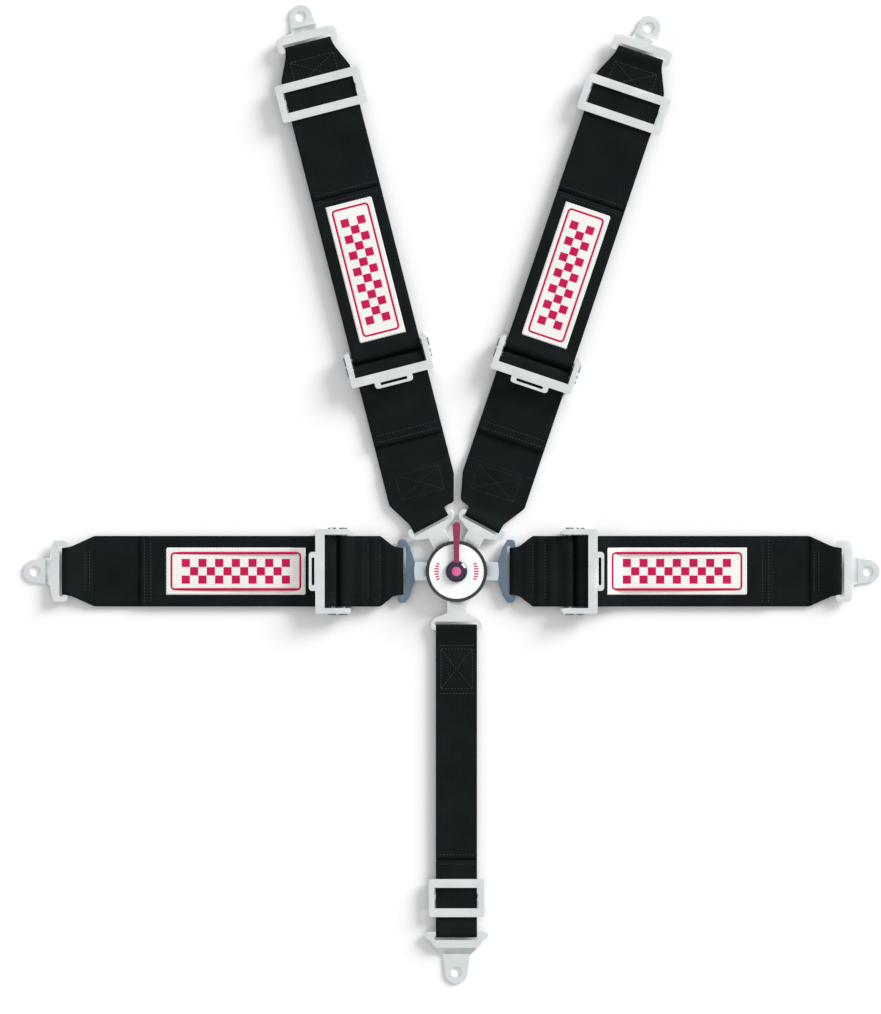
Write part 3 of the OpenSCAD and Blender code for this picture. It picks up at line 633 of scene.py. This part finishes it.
# %% Sizes shared by the straps
SLAB = 3.5 * MM         # the table to the underside of the lowest webbing
WEB_HALF = 38.1 * MM
GATHER_HALF = 25.4 * MM
EYE_R = 3.25 * MM + WEB_T / 2
PIN_R = 3.3 * MM + WEB_T / 2
KNURL_R = 3.9 * MM + WEB_T / 2
LOW_Z = SLAB + WEB_T / 2
DOUBLE_Z = LOW_Z + WEB_T
PATCH_T = 0.8 * MM
AIR = 0.3 * MM
FOLD_END = 7 * MM       # a gathered end stays narrow this far from its bar
FOLD_HALF = 27 * MM     # half its width there
GATHER_RUN = 31 * MM    # a strap begins to narrow this far before its anchor bar
HEM_HALF = 34 * MM      # half the length of a seam straight across wide webbing
TONGUE_HALF = 21 * MM   # half width of a shoulder webbing in its tongue
KNEE = (14 * MM, 30.4 * MM)     # bend of its inner edge: along the strap, and across
OUTER_FULL = 27 * MM    # its outer edge is out at the full width here
INNER_FULL = 44 * MM    # and its inner edge here


def centre_of(node, place):
    """The middle of a node's box in a strap's own axes."""
    low, high = local_box(node, place)
    return (low + high) / 2


def gathered_at(far):
    """Half width of a strap that is folded narrow round the anchor bar at far."""
    stops = [(far - GATHER_RUN, WEB_HALF), (far - FOLD_END, FOLD_HALF), (far, GATHER_HALF)]
    return lambda x: taper(x, stops)


def seam_across(x, half):
    """A line of stitches straight across the strap."""
    return [(x, -half), (x, half)]


def tail_path(bar, end, rest, outward):
    """Side path of a tail: round the knurled bar and away under the front bar."""
    top = bar[1] + KNURL_R
    drop = bar[0] + outward * 21 * MM
    start, finish = (-90, -270) if outward > 0 else (-90, 90)
    return arc(bar, KNURL_R, start, finish) + [
        (drop, top), (drop + outward * 24 * MM, rest), (end, rest)]


def height_on(points, lift):
    """A function that gives the height of a path at a place along it, on its upper side."""
    def at(x):
        best = None
        for a, b in zip(points, points[1:]):
            if min(a[0], b[0]) - 1e-6 <= x <= max(a[0], b[0]) + 1e-6:
                t = 0 if abs(b[0] - a[0]) < 1e-9 else (x - a[0]) / (b[0] - a[0])
                z = a[1] + (b[1] - a[1]) * t
                best = z if best is None else max(best, z)
        return (best if best is not None else points[-1][1]) + lift
    return at


# %% Shoulder straps
def shoulder(side):
    name = f"{side}_shoulder"
    place = STRAPS[name]
    bar = centre_of(f"{name}_knurled_bar", place)
    pin = centre_of(f"{name}_fixed_pin", place)
    tongue_z = joints[f"{name}_strap_swing"]["pos_m"][2]
    far, seam = BAR_AT[name], 62 * MM
    meet = 11 * MM          # the two layers of a loop meet this far from its bar
    tongue_axis = Vector(joints[f"{name}_tongue_release"]["axis"])
    skew = (place.inverted().to_3x3() @ tongue_axis).xy
    skew.normalize()
    outer_side = 1 if side == "left" else -1

    def lower_edge(x, way):
        """One edge of the webbing: square to the tongue at first, then out to its corners."""
        gathered = Vector((-skew.y, skew.x)) * way * TONGUE_HALF
        if x <= FOLD_END:
            return skew * x + gathered
        stops = [(FOLD_END, skew * FOLD_END + gathered)]
        if way == -outer_side:
            stops.append((KNEE[0], Vector((KNEE[0], way * KNEE[1]))))
        full_at = OUTER_FULL if way == outer_side else INNER_FULL
        stops.append((full_at, Vector((full_at, way * WEB_HALF))))
        for (x0, a), (x1, b) in zip(stops, stops[1:]):
            if x <= x1:
                return a.lerp(b, (x - x0) / (x1 - x0))
        return Vector((x, way * WEB_HALF))

    def lower_edges(x):
        return lower_edge(x, -1), lower_edge(x, 1)

    lower = [(seam, DOUBLE_Z), (meet, DOUBLE_Z)]
    lower += arc((0, tongue_z), EYE_R, 75, 285)
    _, lower_high = local_box(f"{name}_lower_webbing", place)
    lower += [(meet, LOW_Z), (lower_high.x, LOW_Z)]
    lower_points = ribbon(f"{name}_lower_strap", lower, lambda x: WEB_HALF, place,
                             f"{name}_lower", f"{name}_lower_webbing", lower_edges)
    low, _ = local_box(f"{name}_tail", place)
    rest = DOUBLE_Z + WEB_T + AIR
    tail = tail_path((bar.x, bar.z), low.x + 0.4 * MM, rest, -1)
    tail_points = ribbon(f"{name}_tail_strap", tail, lambda x: WEB_HALF, place,
                            f"{name}_bar", f"{name}_tail")
    mid = bar.z
    upper_top, upper_low = mid + WEB_T / 2, mid - WEB_T / 2
    tail_edge = 364 * MM    # the two folded ends of the main webbing meet here
    main = [(tail_edge, upper_top), (pin.x + meet, upper_top)]
    main += arc((pin.x, pin.z), PIN_R, 70, 290)
    main += [(pin.x + meet, upper_low), (far - meet, upper_low)]
    main += arc((far, mid), EYE_R, -110, 110)
    main += [(far - meet, upper_top), (tail_edge + 2 * MM, upper_top)]
    main_points = ribbon(f"{name}_strap", main, gathered_at(far), place, f"{name}_upper",
                         f"{name}_webbing")
    on_lower = height_on(lower_points, WEB_T / 2)
    on_tail = height_on(tail_points, WEB_T / 2)
    on_main = height_on(main_points, WEB_T / 2)
    # finer thread, half sunk in, so that the tail can ride over it when the strap is shortened
    sew(f"{name}_tongue_seam", box_stitch(30 * MM, seam - 5 * MM, -24 * MM, 24 * MM),
        lambda x: on_lower(x) - 0.12 * MM, place, f"{name}_lower", girth=0.5 * MM)
    sew(f"{name}_tail_hem", [seam_across(low.x + d * MM, HEM_HALF) for d in (5, 12)],
        on_tail, place, f"{name}_bar")
    sew(f"{name}_adjuster_seam", [seam_across(tail_edge - d * MM, HEM_HALF) for d in (4, -6)],
        on_main, place, f"{name}_upper")
    sew(f"{name}_anchor_seam", box_stitch(far - 42 * MM, far - 14 * MM, -24 * MM, 24 * MM),
        on_main, place, f"{name}_upper")
    return on_main


SHOULDER_TOP = {side: shoulder(side) for side in ("left", "right")}
print("shoulder webbing top, mm:", round(SHOULDER_TOP["left"](0.28) / MM, 2))

# %% [markdown]
# On the lap straps the adjuster faces the other way. A short webbing joins it to the tongue, and
# the long webbing from the anchor passes through it. The bulky short piece is sewn in folds, and
# those folds show as soft ridges across the strap. They are added to the path as low humps.

# %% Lap straps
FOLDS = (15, 28, 41)    # mm from the tongue's bar
FOLD_RISE = 3.2 * MM
FOLD_RUN = 3.4 * MM


def lap(side):
    name = f"{side}_lap"
    place = STRAPS[name]
    bar = centre_of(f"{name}_knurled_bar", place)
    pin = centre_of(f"{name}_fixed_pin", place)
    tongue_z = joints[f"{name}_strap_swing"]["pos_m"][2]
    far = BAR_AT[name]
    start_z, end_z = tongue_z + 0.6 * MM, pin.z
    meet, steps = 12 * MM, 28       # where the loops' layers meet, and points along them

    def layer_height(x, offset):
        return start_z + (end_z - start_z) * (x - meet) / (pin.x - 22 * MM) + offset

    def hump(x):
        return FOLD_RISE * sum(math.exp(-((x - c * MM) / FOLD_RUN) ** 2) for c in FOLDS)

    along = [meet + i * (pin.x - 2 * meet) / steps for i in range(steps + 1)]
    under = [(x, layer_height(x, -WEB_T / 2)) for x in along]
    over = [(x, layer_height(x, WEB_T / 2) + hump(x)) for x in reversed(along)]
    # the two ends of the short piece meet on its underside, where a seam hides them
    short = under[steps // 2:] + arc((pin.x, pin.z), PIN_R, -110, 110) + over
    short += arc((0, tongue_z), EYE_R, 75, 285) + under[:steps // 2]

    def short_width(x):
        return taper(x, [(0, GATHER_HALF), (FOLD_END, FOLD_HALF), (21 * MM, WEB_HALF)])

    short_points = ribbon(f"{name}_short_strap", short, short_width, place, f"{name}_short",
                             f"{name}_short_webbing")
    _, high = local_box(f"{name}_tail", place)
    rest = DOUBLE_Z + AIR
    tail = tail_path((bar.x, bar.z), high.x - 0.4 * MM, rest, 1)
    tail_points = ribbon(f"{name}_tail_strap", tail, lambda x: WEB_HALF, place,
                            f"{name}_bar", f"{name}_tail")
    anchor_z = joints[f"{name}_anchor_swing"]["pos_m"][2]
    long_low, _ = local_box(f"{name}_webbing", place)
    long_path = [(long_low.x, LOW_Z), (far - 26 * MM, LOW_Z)]
    long_path += arc((far, anchor_z), EYE_R, -100, 105)
    long_path += [(far - 24 * MM, DOUBLE_Z), (far - 30 * MM, DOUBLE_Z)]
    long_points = ribbon(f"{name}_strap", long_path, gathered_at(far), place, f"{name}_long",
                         f"{name}_webbing")
    on_short = height_on(short_points, WEB_T / 2)
    on_tail = height_on(tail_points, WEB_T / 2)
    on_long = height_on(long_points, WEB_T / 2)
    sew(f"{name}_short_seam", [seam_across(x * MM, 30 * MM) for x in (21.5, 34.5)],
        on_short, place, f"{name}_short")
    sew(f"{name}_tail_hem", [seam_across(high.x - d * MM, HEM_HALF) for d in (5, 12)],
        on_tail, place, f"{name}_bar")
    sew(f"{name}_anchor_seam", [seam_across(far - d * MM, 22 * MM) for d in (21, 26)],
        on_long, place, f"{name}_long")
    return on_tail


LAP_TOP = {side: lap(side) for side in ("left", "right")}
print("lap tail top, mm:", round(LAP_TOP["left"](0.25) / MM, 2))


# %% Crotch strap
def crotch():
    place = STRAPS["crotch"]
    tongue_z = joints["crotch_strap_swing"]["pos_m"][2]
    far = BAR_AT["crotch"]
    half, meet = 22.2 * MM, 14 * MM
    top, low = tongue_z + WEB_T / 2, tongue_z - WEB_T / 2
    edge = 249 * MM         # the webbing's two ends meet here
    path = [(edge, top), (meet, top)]
    path += arc((0, tongue_z), EYE_R, 75, 285)
    path += [(meet, low), (far - meet, low)]
    path += arc((far, tongue_z), EYE_R, -105, 105)
    path += [(far - meet, top), (edge + 2 * MM, top)]
    points = ribbon("crotch_strap_webbing", path, lambda x: half, place, "crotch_strap",
                       "crotch_webbing")
    on_top = height_on(points, WEB_T / 2)
    cross = [seam_across(x * MM, 19 * MM) for x in (19, 71, 245, 255)]
    sew("crotch_seams", cross + box_stitch(23 * MM, 66 * MM, -17 * MM, 17 * MM), on_top, place,
        "crotch_strap")


crotch()

# %% [markdown]
# Each wide strap carries a woven patch, sewn on round its edge. It stays free of any name: a
# crimson line runs round it and a band of racing chequers fills the middle. The ground is one
# slightly crowned sheet, and the crimson parts are raised pads of satin stitch, so that they
# catch the light like embroidery.

# %% Sewn patches
PATCH_HALF = (76 * MM, 26 * MM)


def rounded_outline(half_x, half_y, radius, steps=6):
    """Points round a rectangle with round corners, each corner in a number of steps."""
    points = []
    for corner in range(4):
        sx, sy = ((1, 1), (-1, 1), (-1, -1), (1, -1))[corner]
        for i in range(steps + 1):
            a = math.radians(90 * corner + 90 * i / steps)
            points.append((sx * (half_x - radius) + radius * math.cos(a),
                           sy * (half_y - radius) + radius * math.sin(a)))
    return points


def pad(vertices, faces, outline, height, rise, place):
    """A raised pad: its outline on the surface, and a smaller one above it."""
    cx = sum(p[0] for p in outline) / len(outline)
    cy = sum(p[1] for p in outline) / len(outline)
    start, n = len(vertices), len(outline)
    for inset, lift in ((0.0, -0.1 * MM), (0.0, rise * 0.6), (0.45 * MM, rise)):
        for x, y in outline:
            away = Vector((x - cx, y - cy))
            away = away * max(0.0, 1 - inset / away.length)
            px, py = cx + away.x, cy + away.y
            vertices.append(place @ Vector((px, py, height(px) + lift)))
    for level in range(2):
        for k in range(n):
            a, b = start + level * n + k, start + level * n + (k + 1) % n
            faces.append((a, b, b + n, a + n))
    faces.append(tuple(start + 2 * n + k for k in range(n)))
    faces.append(tuple(start + k for k in range(n - 1, -1, -1)))


def flat_map(mesh, place):
    """The cloth map for a flat sewn piece: its own along and across, in metres."""
    back = place.inverted()
    layer = mesh.uv_layers.new(name="cloth")
    for loop in mesh.loops:
        spot = back @ mesh.vertices[loop.vertex_index].co
        layer.data[loop.index].uv = (spot.x, spot.y)


def frame_line(vertices, faces, half_x, half_y, radius, width, height, rise, place):
    """A raised line that runs round the patch."""
    outer = rounded_outline(half_x, half_y, radius)
    inner = rounded_outline(half_x - width, half_y - width, max(0.5 * MM, radius - width))
    ridge = rounded_outline(half_x - width / 2, half_y - width / 2, radius - width / 2)
    start, n = len(vertices), len(outer)
    for ring, lift in ((outer, -0.1 * MM), (ridge, rise), (inner, -0.1 * MM)):
        for x, y in ring:
            vertices.append(place @ Vector((x, y, height(x) + lift)))
    for level in (0, 1, 2):
        for k in range(n):
            a, b = level * n + k, level * n + (k + 1) % n
            c, d = ((level + 1) % 3) * n + (k + 1) % n, ((level + 1) % 3) * n + k
            faces.append((start + a, start + b, start + c, start + d))


def patch(name, place, height, body):
    """A patch's ground, its embroidery and the stitches round it."""
    low, high = local_box(name, place)
    centre_x = (low.x + high.x) / 2
    spot = place @ Matrix.Translation((centre_x, 0, 0))

    def surface(x):
        return height(x + centre_x) + PATCH_T * 0.55

    # the ground is a grid, 2 mm a square, whose rim turns down onto the webbing
    columns, rows = 76, 26
    vertices, faces = [], []
    for i in range(columns + 1):
        for j in range(rows + 1):
            x = PATCH_HALF[0] * (2 * i / columns - 1)
            y = PATCH_HALF[1] * (2 * j / rows - 1)
            rim = min(PATCH_HALF[0] - abs(x), PATCH_HALF[1] - abs(y))
            fall = (1 - ease(rim / (1.6 * MM))) * PATCH_T * 0.75
            vertices.append(spot @ Vector((x, y, surface(x) - fall)))
    for i in range(columns):
        for j in range(rows):
            a = i * (rows + 1) + j
            faces.append((a, a + rows + 1, a + rows + 2, a + 1))
    mesh = bpy.data.meshes.new(f"{name}_ground")
    mesh.from_pydata(vertices, [], faces)
    flat_map(mesh, spot)
    for polygon in mesh.polygons:
        polygon.use_smooth = True
    ground = link(f"{name}_ground", mesh, patch_white, body)
    solid = ground.modifiers.new("cloth_thickness", "SOLIDIFY")
    solid.thickness = 0.35 * MM
    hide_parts(name)

    vertices, faces = [], []
    frame_line(vertices, faces, PATCH_HALF[0] - 5 * MM, PATCH_HALF[1] - 5 * MM, 5 * MM,
               2.8 * MM, surface, 0.4 * MM, spot)
    square, columns, rows = 9.0 * MM, 13, 3
    for i in range(columns):
        for j in range(rows):
            if (i + j) % 2 == 0:
                cx = (i - (columns - 1) / 2) * square
                cy = (j - (rows - 1) / 2) * square
                h = square / 2 - 0.15 * MM
                pad(vertices, faces, [(cx - h, cy - h), (cx + h, cy - h), (cx + h, cy + h),
                                      (cx - h, cy + h)], surface, 0.32 * MM, spot)
    mesh = bpy.data.meshes.new(f"{name}_embroidery")
    mesh.from_pydata(vertices, [], faces)
    flat_map(mesh, spot)
    link(f"{name}_embroidery", mesh, patch_red, body)
    edge = rounded_outline(PATCH_HALF[0] - 1.6 * MM, PATCH_HALF[1] - 1.6 * MM, 1.5 * MM, 2)
    sew(f"{name}_edge_stitches", [edge + edge[:1]], surface, spot, body, patch_white,
        0.7 * MM)


for side in ("left", "right"):
    patch(f"{side}_shoulder_patch", STRAPS[f"{side}_shoulder"], SHOULDER_TOP[side],
          f"{side}_shoulder_upper")
    patch(f"{side}_lap_patch", STRAPS[f"{side}_lap"], LAP_TOP[side], f"{side}_lap_bar")
print("patches sewn on")

# %% [markdown]
# The buckle's face tells the wearer which way the lever turns. Two short rows of crimson dashes
# at the left and right do that without any lettering. They stand a hair above the white disc.

# %% Face marks
def face_marks():
    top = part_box("buckle_face_disc")[1].z
    vertices, faces = [], []
    for side in (-1, 1):
        for k in range(-3, 4):
            a = math.radians(k * 7.5 + (180 if side < 0 else 0))
            turn = Matrix.Rotation(a, 4, "Z") @ Matrix.Translation((21.5 * MM, 0, 0))
            half = (2.6 - 0.3 * abs(k)) * MM
            pad(vertices, faces, [(-half, -0.75 * MM), (half, -0.75 * MM), (half, 0.75 * MM),
                                  (-half, 0.75 * MM)], lambda x: top, 0.1 * MM, turn)
    mesh = bpy.data.meshes.new("buckle_face_marks")
    mesh.from_pydata(vertices, [], faces)
    link("buckle_face_marks", mesh, mark_red, "buckle")


face_marks()

# %% [markdown]
# A white table and a large soft light show every piece plainly, with no clutter. The table is
# a single sheet just under the object. The sky lights everything evenly, and one wide sun from
# the upper right leaves a soft grey shadow at the lower left of each strap.

# %% Table and light
def stage_and_light():
    """The table, the sky and the sun, which are scenery and no part of the harness."""
    floor_material, tree, shader = new_material("white_table", Roughness=0.85)
    spot = add(tree, "ShaderNodeTexCoord").outputs["Object"]
    paper = noise(tree, spot, 3.0, 2.0)
    tree.links.new(ramp(tree, paper, [(0.3, grey(0.93)), (0.7, grey(0.945))]),
                   shader.inputs["Base Color"])
    mesh = bpy.data.meshes.new("table")
    reach = 6.0
    corners = [(x * reach, y * reach, 0) for x, y in ((-1, -1), (1, -1), (1, 1), (-1, 1))]
    mesh.from_pydata(corners, [], [(0, 1, 2, 3)])
    mesh.materials.append(floor_material)
    table = bpy.data.objects.new("table", mesh)
    table.location.z = -0.0002
    bpy.context.scene.collection.objects.link(table)

    world = bpy.data.worlds.new("studio")
    bpy.context.scene.world = world
    world.use_nodes = True
    tree = world.node_tree
    back = tree.nodes["Background"]
    way = add(tree, "ShaderNodeTexCoord").outputs["Generated"]
    rise = add(tree, "ShaderNodeSeparateXYZ", Vector=way).outputs[2]
    tree.links.new(ramp(tree, rise, [(0.0, grey(0.30)), (0.30, grey(0.55)), (0.7, grey(1.0))]),
                   back.inputs["Color"])
    back.inputs["Strength"].default_value = 0.74

    sun_data = bpy.data.lights.new("window", "SUN")
    sun_data.energy = 3.4
    sun_data.angle = math.radians(28)
    sun = bpy.data.objects.new("window", sun_data)
    sun.rotation_euler = Vector((1.75, 1.35, 1.0)).to_track_quat("Z", "Y").to_euler()
    bpy.context.scene.collection.objects.link(sun)
    bpy.context.scene.view_settings.view_transform = "Standard"


stage_and_light()

# %% Zinc for every part still without a finish
for obj in frame["nodes"].values():
    if not obj.hide_render and not obj.data.materials:
        obj.data.materials.append(zinc)
